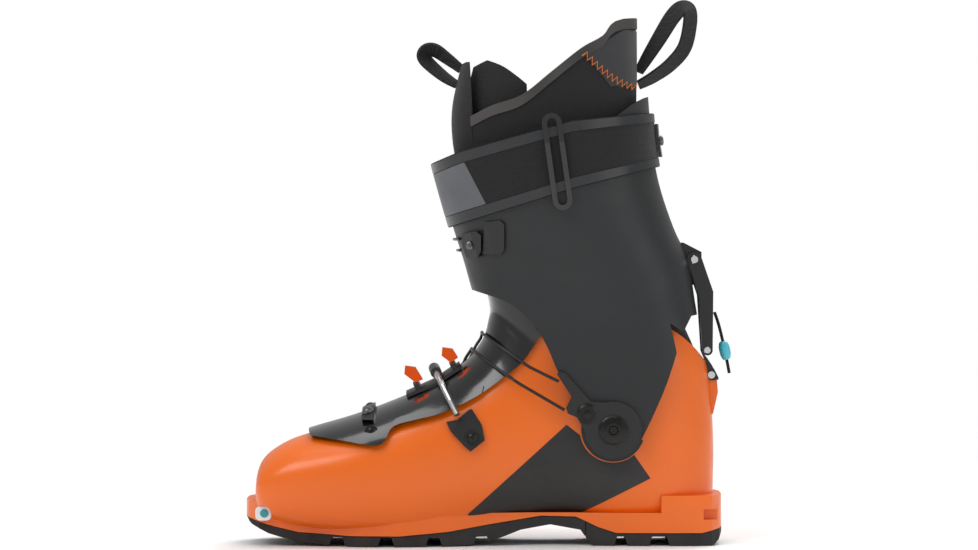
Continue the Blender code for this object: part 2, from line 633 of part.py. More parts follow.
def wrap(tree, start, end, centre_start, centre_end, facing, rise, steps):
    """Points on a surface, RISE above it, met by rays that turn from START to END degrees."""
    points = []
    for i in range(steps + 1):
        part = i / steps
        angle = math.radians(start + (end - start) * part)
        centre = Vector(centre_start).lerp(Vector(centre_end), part)
        ray = Vector(facing) * math.cos(angle) + Vector((0, math.sin(angle), 0))
        place, _, _, _ = tree.ray_cast((centre + ray * 150) * MM, -ray)
        points.append(place / MM + ray * rise)
    return points


def ribbon(name, path, thickness, half_width, finish):
    """A strip of webbing bent along a side-view path."""
    path = [Vector((x, z)) for x, z in spline(path, 4)]
    near, far = [], []
    for i, point in enumerate(path):
        along = (path[min(i + 1, len(path) - 1)] - path[max(i - 1, 0)]).normalized()
        off = Vector((-along.y, along.x)) * thickness / 2
        near.append(tuple(point + off))
        far.append(tuple(point - off))
    return shade(side_prism(name, near + far[::-1], -half_width, half_width, finish))


def strap():
    outline = STRAP_TOP + list(reversed(STRAP_BOTTOM))
    shade(patch("power_strap", outline, CUFF_STATIONS, 0.5, 3.0, 0, "webbing"))
    turn = math.degrees(math.atan2(60.6, -9))
    top, low = (42.3, 266.5), (49.2, 218.1)
    ring = arc(top, 6.2, turn + 90, turn - 90, 10) + arc(low, 6.2, turn - 90, turn - 270, 10)
    hole = arc(top, 3.0, turn + 90, turn - 90, 8) + arc(low, 3.0, turn - 90, turn - 270, 8)
    for word, side in (("medial", MEDIAL), ("lateral", LATERAL)):
        loop = patch("strap_ring_" + word, ring, CUFF_STATIONS, 3.4, 6.0, side, "gloss_black")
        shade(cut(loop, side_prism("hole", hole, *sorted((2 * side, 90 * side)))))
    plate = side_prism("strap_rear_plate", box_outline(98, 246, 130, 267), -9, 9, "gloss_black")
    keep(plate, form("grown", CUFF_STATIONS, 5.2))
    shade(cut(plate, form("seat", CUFF_STATIONS, 3.4)))
    tree = tree_of_form(CUFF_STATIONS, 5.2)
    place, _, _, _ = tree.ray_cast(Vector((0.3, 0, 0.2565)), Vector((-1, 0, 0)))
    screw = turned("strap_rear_screw", domed(3.2, 2.2), (place.x / MM, 0, 256.5), (1, 0, 0.12), 20, "steel")
    shade(cut(screw, form("seat", CUFF_STATIONS, 5.2 + GAP)))


def pull_loops():
    path = [(98.6, 300), (104, 309), (112, 322), (120, 336), (126, 343), (132, 342.5), (133, 333),
            (130, 318), (119, 307), (108, 299), (98.6, 293.5)]
    ribbon("rear_pull_loop", path, 1.8, 10, "webbing")
    path = [(-21.5, 291.5), (-31, 300), (-40, 308.5), (-42.6, 312.5), (-40, 316.5), (-33.5, 317),
            (-24, 311), (-16, 305)]
    ribbon("front_pull_loop", path, 1.8, 9, "webbing")


def cables():
    """Two strands of the instep cable, from the carrier over the tongue to the lateral lever."""
    tree = tree_of_form(SHELL_STATIONS, TONGUE_GAP + TONGUE_WALL)
    facing = Vector((-0.83, 0, 0.56)).normalized()
    for name, begin, middle, finish_x in (
        ("instep_cable_upper", (47.0, 104.5), (30.4, 112.5), -11.5),
        ("instep_cable_lower", (50.6, 86.6), (24.0, 102.0), -18.0),
    ):
        first = Vector((begin[0], 0, begin[1]))
        centre = Vector((middle[0], 0, middle[1]))
        last = Vector((finish_x, 0, 92.5))
        points = wrap(tree, -88, 0, centre, centre, facing, 1.9, 12)
        points += wrap(tree, 6, 84, centre, last, facing, 1.9, 12)
        taut = []
        for point in points:
            share = min(max(point.x / 24, 0.0), 1.0) if point.y < 0 else 0.0
            taut.append(Vector((point.x, min(point.y, -47.2 * share + point.y * (1 - share)), point.z)))
        path = [Vector((first.x, -47.4, first.z))] + taut
        tube(name, [Vector(p) for p in spline([tuple(p) for p in path], 2)], 1.0, "steel", 2)


def lateral_levers():
    tree = tree_of_form(SHELL_STATIONS, 0)
    y = side_y(tree, -15, 81, LATERAL) + 7.2
    outline = [(-25.5, 66), (-25.5, 83), (-20, 84.5), (-5, 88), (-4, 76), (-7, 66)]
    base = patch("ankle_lever_base", outline, SHELL_STATIONS, GAP, 2.4, LATERAL, "satin_black")
    for x in (-25, -7.4):
        lug = side_prism("lug", box_outline(x, 78.2, x + 2.4, 84.0), y - 9, y + 2.6)
        cut(lug, form("seat", SHELL_STATIONS, 1.0))
        add(base, lug)
    shade(cut(base, rod("bore", (-40, y, 81), (10, y, 81), 1.5, 16)))
    shade(rod("ankle_lever_pin", (-26, y, 81), (-4, y, 81), 1.15, 16, "steel"))
    outline = [(-21.5, 81), (-21.5, 60), (-19, 46), (-15, 43.5), (-11, 46), (-8.6, 60), (-8.6, 81)]
    lever = patch("ankle_lever", outline, SHELL_STATIONS, 4.4, 7.0, LATERAL, "anodised_orange")
    add(lever, rod("barrel", (-22.1, y, 81), (-7.9, y, 81), 2.9, 20))
    shade(cut(lever, rod("bore", (-40, y, 81), (10, y, 81), 1.5, 16)))

    tree = tree_of_form(CUFF_STATIONS, 0)
    y = side_y(tree, 2.5, 194, LATERAL) + 7.6
    plate = [(-2, 183), (11, 183), (13, 187), (13, 203), (10, 206.5), (-2, 206)]
    base = patch("cuff_lever_base", plate, CUFF_STATIONS, GAP, 2.0, LATERAL, "satin_black")
    for z in (183.2, 202.6):
        lug = side_prism("lug", box_outline(-1, z, 6, z + 2.6), y - 12, y + 2.8)
        cut(lug, form("seat", CUFF_STATIONS, 1.0))
        add(base, lug)
    shade(cut(base, rod("bore", (2.5, y, 170), (2.5, y, 220), 1.5, 16)))
    shade(rod("cuff_lever_pin", (2.5, y, 182.4), (2.5, y, 206), 1.15, 16, "steel"))
    outline = [(3, 187.4), (3, 201), (30, 199.5), (44, 199), (48, 196), (48, 193), (44, 190), (30, 188.5)]
    lever = patch("cuff_lever", outline, CUFF_STATIONS, 3.6, 6.0, LATERAL, "anodised_orange")
    add(lever, rod("barrel", (2.5, y, 186.4), (2.5, y, 202.0), 2.9, 20))
    shade(cut(lever, rod("bore", (2.5, y, 170), (2.5, y, 220), 1.5, 16)))


def catch_wires():
    tree = tree_of_form(CUFF_STATIONS, 0)
    for name, height in (("catch_wire_upper", 193.5), ("catch_wire_lower", 186.5)):
        centre = Vector((20, 0, height))
        points = wrap(tree, -85, 85, centre, centre, Vector((-1, 0, 0)), 1.9, 34)
        path = [p for p in points if (p.y < 0 and p.x < -14.8) or (p.y >= 0 and p.x < -3.4)]
        tube(name, path, 0.9, "dark_steel", 2)


def bail():
    tree = tree_of_form(SHELL_STATIONS, TONGUE_GAP + TONGUE_WALL)
    facing = Vector((-0.45, 0, 0.89)).normalized()
    points = wrap(tree, -84, -26, (-14.5, 0, 79), (-16, 0, 80.5), facing, 6.8, 10)
    tube("bail_rod", points, 1.9, "steel", 3)
    ends = wrap(tree, -22, 8, (-16, 0, 80.5), (-16.5, 0, 80.5), facing, 7.6, 1)
    step = (ends[1] - ends[0]).normalized()
    shade(rod("bail_barrel", points[-1] + step * 0.5, ends[1], 3.6, 20, "satin_black"))


def pull_cord():
    path = [(147.3, 0, 147), (149.4, 0, 141), (151.2, 0, 134.5), (152.6, 0, 128.5), (153.9, 0, 122.5),
            (155.2, 0, 116.5), (156.8, 0, 108)]
    tube("pull_cord", [Vector(p) for p in spline(path, 3)], 1.0, "webbing", 2)
    middle, along = Vector((153.9, 0, 122.5)), Vector((0.213, 0, -0.977))
    profile = [(1.9, -6), (2.8, -5), (3.5, -2.6), (3.6, 0), (3.5, 2.6), (2.8, 5), (1.9, 6)]
    bead = turned("cord_bead", profile, middle, along, 18, "bead_blue")
    shade(cut(bead, rod("bore", middle - along * 20, middle + along * 20, 1.55, 16)))


def main():
    clear_scene()
    lower_shell()
    outsole("outsole_front", -160, 64, [(-97, -88), (-66, -57), (-36, -27), (-6, 3)])
    outsole("outsole_heel", 64.4, 160, [(83, 90), (105, 116.5)])
    boot_board()
    footbed()
    liner_foot()
    liner_cuff()
    liner_tongue()
    tongue_lower()
    tongue_upper()
    cuff_shell()
    inserts()
    tongue_hinge()
    anchors()
    cable_carriers()
    cuff_catch()
    lock()
    rack()
    strap()
    pull_loops()
    cables()
    lateral_levers()
    catch_wires()
    bail()
    pull_cord()


main()
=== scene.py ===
import json
import math

import bmesh
import bpy
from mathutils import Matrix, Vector
from mathutils.bvhtree import BVHTree


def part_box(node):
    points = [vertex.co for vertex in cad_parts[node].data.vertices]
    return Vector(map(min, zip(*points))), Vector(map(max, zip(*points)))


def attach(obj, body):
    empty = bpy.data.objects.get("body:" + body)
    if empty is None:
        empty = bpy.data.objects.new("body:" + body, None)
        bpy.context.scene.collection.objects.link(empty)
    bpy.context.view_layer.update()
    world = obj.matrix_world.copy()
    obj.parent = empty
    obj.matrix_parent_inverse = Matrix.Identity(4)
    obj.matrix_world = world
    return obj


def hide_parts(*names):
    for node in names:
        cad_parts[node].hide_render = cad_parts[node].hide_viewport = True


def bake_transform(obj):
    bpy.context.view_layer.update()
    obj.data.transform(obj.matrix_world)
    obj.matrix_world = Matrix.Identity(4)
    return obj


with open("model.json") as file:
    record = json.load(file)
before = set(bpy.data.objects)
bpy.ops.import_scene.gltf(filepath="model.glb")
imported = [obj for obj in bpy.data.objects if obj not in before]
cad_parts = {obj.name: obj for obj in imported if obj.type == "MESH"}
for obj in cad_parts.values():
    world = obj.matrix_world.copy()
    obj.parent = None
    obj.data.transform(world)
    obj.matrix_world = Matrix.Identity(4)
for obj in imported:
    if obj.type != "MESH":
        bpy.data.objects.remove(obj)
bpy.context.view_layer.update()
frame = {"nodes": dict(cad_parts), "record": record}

MM = 0.001
MEDIAL, LATERAL = -1, 1
PIVOT = Vector((81.2, 0.0, 74.0))
RING = 96  # points round each section of a form
SPANS = 5  # rows between two stations of a form
SHELL_WALL, CUFF_WALL = 4.0, 3.4
LINER_DEPTH, LINER_WALL = 4.7, 7.5
TONGUE_LOW, TONGUE_HIGH = 0.5, 3.3

# Each station of a form: front x, z, back x, z, half width, centre y, front and back squareness.
SHELL_STATIONS = [
    (-144.5, 37, -144.5, 26.5, 18, -9, 2.0, 2.0),
    (-143.2, 48, -143.6, 22.5, 30, -8, 2.2, 2.4),
    (-137.5, 57, -138.5, 17, 39, -7, 2.3, 2.8),
    (-124, 65.5, -124, 12.5, 46, -5, 2.4, 3.2),
    (-106, 71.5, -104, 9.2, 50.5, -3, 2.4, 3.4),
    (-82, 78.5, -76, 7.6, 54, -1, 2.3, 3.6),
    (-56, 88, -46, 7.6, 53, 1, 2.2, 3.6),
    (-30, 99.5, -16, 9.6, 48.5, 2, 2.2, 3.4),
    (-10, 113, 18, 15.5, 43.5, 1, 2.3, 3.2),
    (2, 128, 56, 18, 40.5, 0, 2.5, 3.2),
    (6, 141, 90, 9, 39.5, 0, 2.8, 3.0),
    (7, 148, 122, 8.3, 39.2, 0, 3.0, 2.8),
    (6.5, 153, 143, 18, 39.0, 0, 3.0, 2.5),
    (5.5, 158, 146.5, 48, 39.0, 0, 3.0, 2.3),
    (3.5, 164, 145.6, 84, 39.0, 0, 2.9, 2.2),
    (0.5, 172, 142, 116, 39.5, 0, 2.7, 2.2),
    (-5, 186, 127, 152, 41.0, 0, 2.5, 2.2),
    (-13, 210, 116, 188, 43.0, 0, 2.4, 2.2),
    (-21, 236, 107, 226, 45.5, 0, 2.3, 2.2),
    (-25, 258, 102.5, 262, 47.0, 0, 2.3, 2.2),
    (-24.8, 280, 102, 298, 47.5, 0, 2.3, 2.2),
    (-19, 306, 101.5, 345, 48.0, 0, 2.3, 2.2),
]
CUFF_STATIONS = [
    (22, 36, 136, 36, 44.8, 0, 5.0, 5.0),
    (13, 90, 137.5, 90, 44.8, 0, 4.6, 4.6),
    (1, 135, 137, 132, 45.2, 0, 3.8, 3.6),
    (-7.6, 161, 135, 154, 46.5, 0, 3.0, 2.8),
    (-13, 180, 131, 179, 48.2, 0, 2.6, 2.4),
    (-20, 202, 121, 201, 50.0, 0, 2.4, 2.3),
    (-27.5, 228, 111.5, 230, 52.2, 0, 2.3, 2.2),
    (-33, 250, 107, 258, 53.5, 0, 2.3, 2.2),
    (-39, 285, 104, 296, 54.0, 0, 2.3, 2.2),
]
SOLE_EDGE = [
    (-151, 18.3), (-136, 13.5), (-117, 9), (-85, 7), (-53, 7), (-22, 9.6), (0.6, 13.4),
    (36, 19), (58, 18.5), (72, 12), (83.5, 8.3), (137.6, 8.3), (151.5, 11.5),
]
SOLE_PLAN = [
    (-151, 13), (-148.5, 24), (-142, 31.5), (-130, 34.3), (-107, 34.8), (-95, 38), (-78, 43),
    (-55, 45), (-30, 42), (0, 34), (30, 29.5), (60, 30), (80, 33.3), (110, 34.6), (134, 34.6),
    (144, 32), (149, 25), (151, 13),
]
TONGUE_EDGE = [
    (-109.6, 70.1), (-88.5, 67.5), (-73.3, 65), (-66, 65), (-61.8, 68.2), (-56.7, 76.4),
    (-40.8, 80.9), (-26, 84.7), (-5.7, 94.3), (10, 105), (23, 115.3), (31, 126), (35.7, 133.8),
]
CUFF_FRONT = [
    (-60, 162.5), (-6.4, 161.2), (8.3, 156.7), (15.6, 153.5), (22.9, 148.4), (31, 140.5), (35.7, 133.8),
    (41, 123.5), (45.2, 113.4), (50, 104), (55.5, 94), (60, 85),
]
CUFF_REAR = [(99, 68), (105.7, 81.5), (115.3, 103.8), (124.8, 132.5), (131.2, 145.2), (170, 151)]
CUFF_TOP = [
    (-70, 226), (-45, 232), (-20, 238), (30, 250), (70, 262), (85, 272.5), (101, 283), (125, 290),
]
LINER_TOP = [
    (-60, 272), (-20.4, 268), (5, 278), (24, 284.7), (42.7, 299.4), (61.2, 314), (74.5, 321.7), (88, 333),
    (140, 336),
]
STRAP_TOP = [(-70, 230), (-45, 237), (-15, 249), (55, 268), (120, 275), (140, 276)]
STRAP_BOTTOM = [(-70, 190), (-40, 197), (-22, 201), (58, 226), (120, 242), (140, 246)]
ARCH_PANEL = [
    (52, 77), (-10, 20.5), (-9, 14.5), (36, 19.5), (58, 19), (105, 43), (94, 57),
]
TOE_LEDGE, HEEL_LEDGE = 28.8, 31.9


# ---------------------------------------------------------------- mesh helpers

def spline(points, spans):
    """A Catmull-Rom curve through rows of numbers, with SPANS samples for each step."""
    last = len(points) - 1
    rows = []
    for i in range(last):
        before, here = points[max(i - 1, 0)], points[i]
        there, after = points[i + 1], points[min(i + 2, last)]
        for k in range(spans):
            t = k / spans
            rows.append(
                [
                    0.5 * (2 * b + (c - a) * t + (2 * a - 5 * b + 4 * c - d) * t * t
                           + (3 * b - a - 3 * c + d) * t ** 3)
                    for a, b, c, d in zip(before, here, there, after)
                ]
            )
    rows.append(list(points[-1]))
    return rows


def arc(centre, radius, start, end, steps):
    return [
        (centre[0] + radius * math.cos(math.radians(start + (end - start) * i / steps)),
         centre[1] + radius * math.sin(math.radians(start + (end - start) * i / steps)))
        for i in range(steps + 1)
    ]


def link(name, mesh):
    obj = bpy.data.objects.new(name, mesh)
    bpy.context.scene.collection.objects.link(obj)
    return obj


def mesh_from(name, verts, faces):
    mesh = bpy.data.meshes.new(name)
    mesh.from_pydata([Vector(v) * MM for v in verts], [], faces)
    solid = bmesh.new()
    solid.from_mesh(mesh)
    bmesh.ops.recalc_face_normals(solid, faces=solid.faces)
    solid.to_mesh(mesh)
    solid.free()
    return link(name, mesh)


def outward(rows, column, turn):
    """Unit normals in XZ along one edge of a form, turned away from its inside."""
    found = []
    for i in range(len(rows)):
        a, b = rows[max(i - 1, 0)], rows[min(i + 1, len(rows) - 1)]
        dx, dz = b[column] - a[column], b[column + 1] - a[column + 1]
        size = math.hypot(dx, dz) or 1.0
        found.append((-dz / size * turn, dx / size * turn))
    return found


def section(row, grow_front, grow_back, grow):
    """One closed ring of a form: a squared ellipse between its front and its back point."""
    fx, fz, bx, bz, half, centre_y, square_front, square_back = row
    front = Vector((fx + grow_front[0] * grow, 0, fz + grow_front[1] * grow))
    back = Vector((bx + grow_back[0] * grow, 0, bz + grow_back[1] * grow))
    middle, reach = (front + back) / 2, (front - back) / 2
    ring = []
    for k in range(RING):
        angle = 2 * math.pi * (k + 0.5) / RING
        c, s = math.cos(angle), math.sin(angle)
        share = (c + 1) / 2
        share = share * share * (3 - 2 * share)
        power = 2 / (square_back * (1 - share) + square_front * share)
        along = math.copysign(abs(c) ** power, c)
        across = math.copysign(abs(s) ** power, s)
        ring.append(middle + reach * along + Vector((0, centre_y + (half + grow) * across, 0)))
    return ring


def form(name, stations, grow=0.0, spans=SPANS):
    """A closed loft through the stations, grown outwards by GROW."""
    rows = spline(stations, spans)
    fronts, backs = outward(rows, 0, 1), outward(rows, 2, -1)
    verts, faces = [], []
    for row, front, back in zip(rows, fronts, backs):
        verts += section(row, front, back, grow)
    for i in range(len(rows) - 1):
        for k in range(RING):
            a, b = i * RING + k, i * RING + (k + 1) % RING
            faces.append((a, b, b + RING, a + RING))
    faces.append(tuple(range(RING)))
    faces.append(tuple(range(len(verts) - 1, len(verts) - RING - 1, -1)))
    return mesh_from(name, verts, faces)


def prism(name, outline, low, high, up="Y"):
    """A closed outline extruded along Y (an XZ outline) or along Z (an XY outline)."""
    n = len(outline)
    if up == "Y":
        verts = [(x, low, z) for x, z in outline] + [(x, high, z) for x, z in outline]
    else:
        verts = [(x, y, low) for x, y in outline] + [(x, y, high) for x, y in outline]
    faces = [tuple(range(n)), tuple(range(2 * n - 1, n - 1, -1))]
    faces += [(i, (i + 1) % n, n + (i + 1) % n, n + i) for i in range(n)]
    return mesh_from(name, verts, faces)


def smooth_outline(points, spans=5):
    return [tuple(p) for p in spline(points, spans)]


def combine(obj, other, operation):
    """Applies one Boolean at once and removes the other solid."""
    modifier = obj.modifiers.new("combine", "BOOLEAN")
    modifier.operation = operation
    modifier.object = other
    modifier.solver = "EXACT"
    graph = bpy.context.evaluated_depsgraph_get()
    graph.update()
    result = bpy.data.meshes.new_from_object(obj.evaluated_get(graph))
    obj.modifiers.clear()
    obj.data = result
    bpy.data.objects.remove(other, do_unlink=True)
    return obj


def cut(obj, other):
    return combine(obj, other, "DIFFERENCE")


def keep(obj, other):
    return combine(obj, other, "INTERSECT")


def add(obj, other):
    return combine(obj, other, "UNION")


def patch(name, outline, stations, low, high, side):
    """A plate that follows a form, between LOW and HIGH above it; side 0 runs right across."""
    low_y, high_y = (-90, 90) if side == 0 else sorted((2 * side, 90 * side))
    piece = form(name, stations, high)
    keep(piece, prism("area", outline, low_y, high_y))
    return cut(piece, form("kept clear", stations, low))


def soften(obj, width=0.5, angle=32, segments=3):
    """Rounds the sharp edges and smooths the rest."""
    obj.data.shade_smooth()
    bevel = obj.modifiers.new("rounded edges", "BEVEL")
    bevel.width = width * MM
    bevel.segments = segments
    bevel.limit_method = "ANGLE"
    bevel.angle_limit = math.radians(angle)
    bevel.harden_normals = True
    return obj


def finish_piece(obj, body, paint, *nodes):
    """Gives a piece its material, ties it to its body and hides the CAD nodes it stands for."""
    obj.data.materials.clear()
    obj.data.materials.append(paint)
    if body:
        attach(obj, body)
    if nodes:
        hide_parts(*nodes)
    return obj


# ---------------------------------------------------------------- materials

def nodes_of(name):
    made = bpy.data.materials.new(name)
    made.use_nodes = True
    tree = made.node_tree
    return made, tree, tree.nodes["Principled BSDF"]


def noise(tree, scale, detail=3.0, roughness=0.55):
    place = tree.nodes.new("ShaderNodeTexCoord")
    texture = tree.nodes.new("ShaderNodeTexNoise")
    texture.inputs["Scale"].default_value = scale
    texture.inputs["Detail"].default_value = detail
    texture.inputs["Roughness"].default_value = roughness
    tree.links.new(place.outputs["Object"], texture.inputs["Vector"])
    return texture.outputs["Fac"]


def ramp(tree, source, low, high, start=0.3, end=0.7):
    """Maps a value onto two colours."""
    mapped = tree.nodes.new("ShaderNodeValToRGB")
    mapped.color_ramp.elements[0].position = start
    mapped.color_ramp.elements[1].position = end
    mapped.color_ramp.elements[0].color = (*low, 1)
    mapped.color_ramp.elements[1].color = (*high, 1)
    tree.links.new(source, mapped.inputs["Fac"])
    return mapped.outputs["Color"]


def bump(tree, shader, height, strength, distance):
    made = tree.nodes.new("ShaderNodeBump")
    made.inputs["Strength"].default_value = strength
    made.inputs["Distance"].default_value = distance
    tree.links.new(height, made.inputs["Height"])
    tree.links.new(made.outputs["Normal"], shader.inputs["Normal"])


def plastic(name, colour, roughness, grain=900.0, depth=0.15, variation=0.06, coat=0.0):
    """Moulded plastic: a fine grain in the surface and a faint drift in colour and gloss."""
    made, tree, shader = nodes_of(name)
    drift = noise(tree, 14, 2.0)
    low = tuple(c * (1 - variation) for c in colour)
    high = tuple(min(1.0, c * (1 + variation)) for c in colour)
    tree.links.new(ramp(tree, drift, low, high), shader.inputs["Base Color"])
    gloss = ramp(tree, noise(tree, 60, 4.0), (roughness * 0.85,) * 3, (roughness * 1.15,) * 3)
    tree.links.new(gloss, shader.inputs["Roughness"])
    bump(tree, shader, noise(tree, grain, 2.0), depth, 0.0002)
    shader.inputs["Coat Weight"].default_value = coat
    shader.inputs["Coat Roughness"].default_value = 0.12
    return made


def metal(name, colour, roughness, streak=500.0):
    """Turned metal with fine streaks."""
    made, tree, shader = nodes_of(name)
    place = tree.nodes.new("ShaderNodeTexCoord")
    stretch = tree.nodes.new("ShaderNodeMapping")
    stretch.inputs["Scale"].default_value = (1.0, 1.0, 12.0)
    texture = tree.nodes.new("ShaderNodeTexNoise")
    texture.inputs["Scale"].default_value = streak
    tree.links.new(place.outputs["Object"], stretch.inputs["Vector"])
    tree.links.new(stretch.outputs["Vector"], texture.inputs["Vector"])
    gloss = ramp(tree, texture.outputs["Fac"], (roughness * 0.7,) * 3, (roughness * 1.4,) * 3)
    tree.links.new(gloss, shader.inputs["Roughness"])
    shader.inputs["Base Color"].default_value = (*colour, 1)
    shader.inputs["Metallic"].default_value = 1.0
    bump(tree, shader, texture.outputs["Fac"], 0.08, 0.0001)
    return made


def fabric(name, colour, scale, depth=0.6, sheen=0.25, roughness=0.85):
    """Knitted or woven cloth: two crossed waves for the yarns, broken up by noise."""
    made, tree, shader = nodes_of(name)
    place = tree.nodes.new("ShaderNodeTexCoord")
    waves = []
    for direction in ("DIAGONAL", "Z"):
        wave = tree.nodes.new("ShaderNodeTexWave")
        wave.bands_direction = direction
        wave.inputs["Scale"].default_value = scale
        wave.inputs["Distortion"].default_value = 0.6
        wave.inputs["Detail"].default_value = 1.0
        tree.links.new(place.outputs["Object"], wave.inputs["Vector"])
        waves.append(wave.outputs["Fac"])
    both = tree.nodes.new("ShaderNodeMath")
    both.operation = "MULTIPLY"
    tree.links.new(waves[0], both.inputs[0])
    tree.links.new(waves[1], both.inputs[1])
    low = tuple(c * 0.55 for c in colour)
    high = tuple(min(1, c * 1.5) for c in colour)
    tree.links.new(ramp(tree, both.outputs[0], low, high, 0.05, 0.8), shader.inputs["Base Color"])
    shader.inputs["Roughness"].default_value = roughness
    shader.inputs["Sheen Weight"].default_value = sheen
    shader.inputs["Sheen Roughness"].default_value = 0.4
    bump(tree, shader, both.outputs[0], depth, 0.0004)
    return made


ORANGE = plastic("orange_shell", (0.83, 0.142, 0.0015), 0.34, 1100, 0.10, 0.03, 0.15)
CHARCOAL = plastic("arch_panel", (0.016, 0.0155, 0.015), 0.55, 420, 0.5, 0.35)
CUFF_GREY = plastic("cuff_grey", (0.011, 0.012, 0.0135), 0.46, 1400, 0.22, 0.06)
GLOSS_BLACK = plastic("gloss_black", (0.006, 0.006, 0.007), 0.20, 900, 0.05, 0.1, 0.5)
SATIN_BLACK = plastic("satin_black", (0.010, 0.010, 0.011), 0.38, 900, 0.2, 0.1)
RUBBER = plastic("rubber", (0.020, 0.019, 0.019), 0.75, 700, 0.5, 0.15)
WHITE = plastic("insert_white", (0.80, 0.81, 0.82), 0.4, 800, 0.1, 0.03)
BEAD = plastic("bead_blue", (0.06, 0.50, 0.62), 0.3, 800, 0.05, 0.05, 0.4)
FOAM = plastic("footbed_foam", (0.06, 0.06, 0.065), 0.9, 300, 0.8, 0.2)
STEEL = metal("steel", (0.66, 0.66, 0.67), 0.26)
DARK_STEEL = metal("dark_steel", (0.16, 0.155, 0.15), 0.34)
ANODISED = metal("anodised_orange", (0.80, 0.10, 0.015), 0.30)
LINER = fabric("liner_fabric", (0.012, 0.012, 0.013), 620, 0.7, 0.15)
WEBBING = fabric("webbing", (0.010, 0.010, 0.011), 420, 0.8, 0.1)

GLOSS_TAPE = plastic("strap_border", (0.018, 0.019, 0.021), 0.30, 700, 0.12, 0.08)
GREY_TAPE = plastic("strap_patch", (0.10, 0.105, 0.115), 0.5, 700, 0.2, 0.1)
PIPING = plastic("piping", (0.055, 0.050, 0.048), 0.6, 260, 0.8, 0.6)
PATCH_GREY = fabric("patch_grey", (0.045, 0.046, 0.05), 500, 0.6, 0.2)
TEAL = plastic("toe_disc", (0.03, 0.30, 0.33), 0.3, 900, 0.1, 0.1)
THREAD = plastic("orange_thread", (0.85, 0.22, 0.03), 0.6, 900, 0.3, 0.1)

BY_SLOT = {
    "orange_shell": ORANGE, "cuff_grey": CUFF_GREY, "gloss_black": GLOSS_BLACK,
    "satin_black": SATIN_BLACK, "rubber": RUBBER, "liner_fabric": LINER, "webbing": WEBBING,
    "steel": STEEL, "dark_steel": DARK_STEEL, "insert_white": WHITE, "anodised_orange": ANODISED,
    "bead_blue": BEAD, "footbed_foam": FOAM,
}


BLACK_STEEL = metal("black_steel", (0.035, 0.034, 0.033), 0.28)
BY_NODE = {
    "pivot_bolt_medial": BLACK_STEEL, "pivot_bolt_lateral": BLACK_STEEL, "anchor_screw": BLACK_STEEL,
    "cable_pulley": BLACK_STEEL, "instep_cable_upper": SATIN_BLACK, "instep_cable_lower": SATIN_BLACK,
    "tongue_anchor_screw_medial": BLACK_STEEL, "tongue_anchor_screw_lateral": BLACK_STEEL,
    "catch_screw": DARK_STEEL, "strap_rear_screw": DARK_STEEL, "heel_spine": ORANGE,
}


def paint_cad():
    """Every CAD node that stays on show gets its own or its slot's material and softened edges."""
    slots = {entry["node"]: entry["material_slot"] for entry in frame["record"]["subparts"]}
    for name, obj in frame["nodes"].items():
        obj.data.materials.clear()
        obj.data.materials.append(BY_NODE.get(name, BY_SLOT[slots[name]]))
        obj.data.shade_smooth()
        bevel = obj.modifiers.new("rounded edges", "BEVEL")
        bevel.width = 0.25 * MM
        bevel.segments = 2
        bevel.limit_method = "ANGLE"
        bevel.angle_limit = math.radians(38)
        bevel.harden_normals = True


# ---------------------------------------------------------------- pieces

def plan_outline():
    near = [(x, -half) for x, half in SOLE_PLAN]
    far = [(x, half) for x, half in reversed(SOLE_PLAN)]
    return near + far


def box(x0, z0, x1, z1):
    return [(x0, z0), (x1, z0), (x1, z1), (x0, z1)]


def round_outline(x, z, wide, high, power=2.0):
    """A closed oval, squarer as POWER grows."""
    outline = []
    for k in range(40):
        c, d = math.cos(k * math.pi / 20), math.sin(k * math.pi / 20)
        across = math.copysign(abs(c) ** (2 / power), c)
        up = math.copysign(abs(d) ** (2 / power), d)
        outline.append((x + wide * across, z + high * up))
    return outline


def insert_place(side, word):
    """The toe insert's centre in XZ and how far its face is from the middle of the boot."""
    low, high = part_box("toe_insert_" + word)
    face = high[1] / MM if side == LATERAL else -low[1] / MM
    return (low[0] + high[0]) / 2 / MM, (low[2] + high[2]) / 2 / MM, face


def make_shell():
    shell = form("moulded_shell", SHELL_STATIONS)
    for name, x0, x1, top in (("toe", -170, -98, TOE_LEDGE), ("heel", 112, 170, HEEL_LEDGE),
                              ("waist", -99, 113, 21)):
        block = prism(name, plan_outline(), 2, top, "Z")
        keep(block, prism("range", box(x0, 0, x1, 40), -80, 80))
        add(shell, block)
    below = SOLE_EDGE + [(170, 11.5), (170, -20), (-170, -20), (-170, 18.3)]
    cut(shell, prism("below", below, -90, 90))
    cut(shell, form("inside", SHELL_STATIONS, -SHELL_WALL))
    throat = [(-62, 100), (-54, 84)] + [(x + 2.5, z + 7) for x, z in TONGUE_EDGE[6:]]
    collar = arc((PIVOT.x, PIVOT.z), 73, 128, 36, 40)
    above = smooth_outline(throat, 3) + collar
    above += [(170, 120), (170, 380), (-140, 380), (-140, 110), (-62, 110)]
    cut(shell, prism("above", above, -90, 90))
    cut(shell, prism("heel pocket", box(147.4, 12.2, 160, 28.3), -8.4, 8.4))
    for side, word in ((MEDIAL, "medial"), (LATERAL, "lateral")):
        x, z, face = insert_place(side, word)
        pocket = round_outline(x, z, 5.2, 5.2)
        cut(shell, prism("pocket", pocket, *sorted((side * (face - 1.2), side * (face + 30)))))
        slot = box(138.7, 16.7, 147.5, 23.2)
        cut(shell, prism("heel slot", slot, *sorted((side * 27, side * 60))))
    soften(shell, 0.6)
    return finish_piece(shell, "shell", ORANGE, "lower_shell")


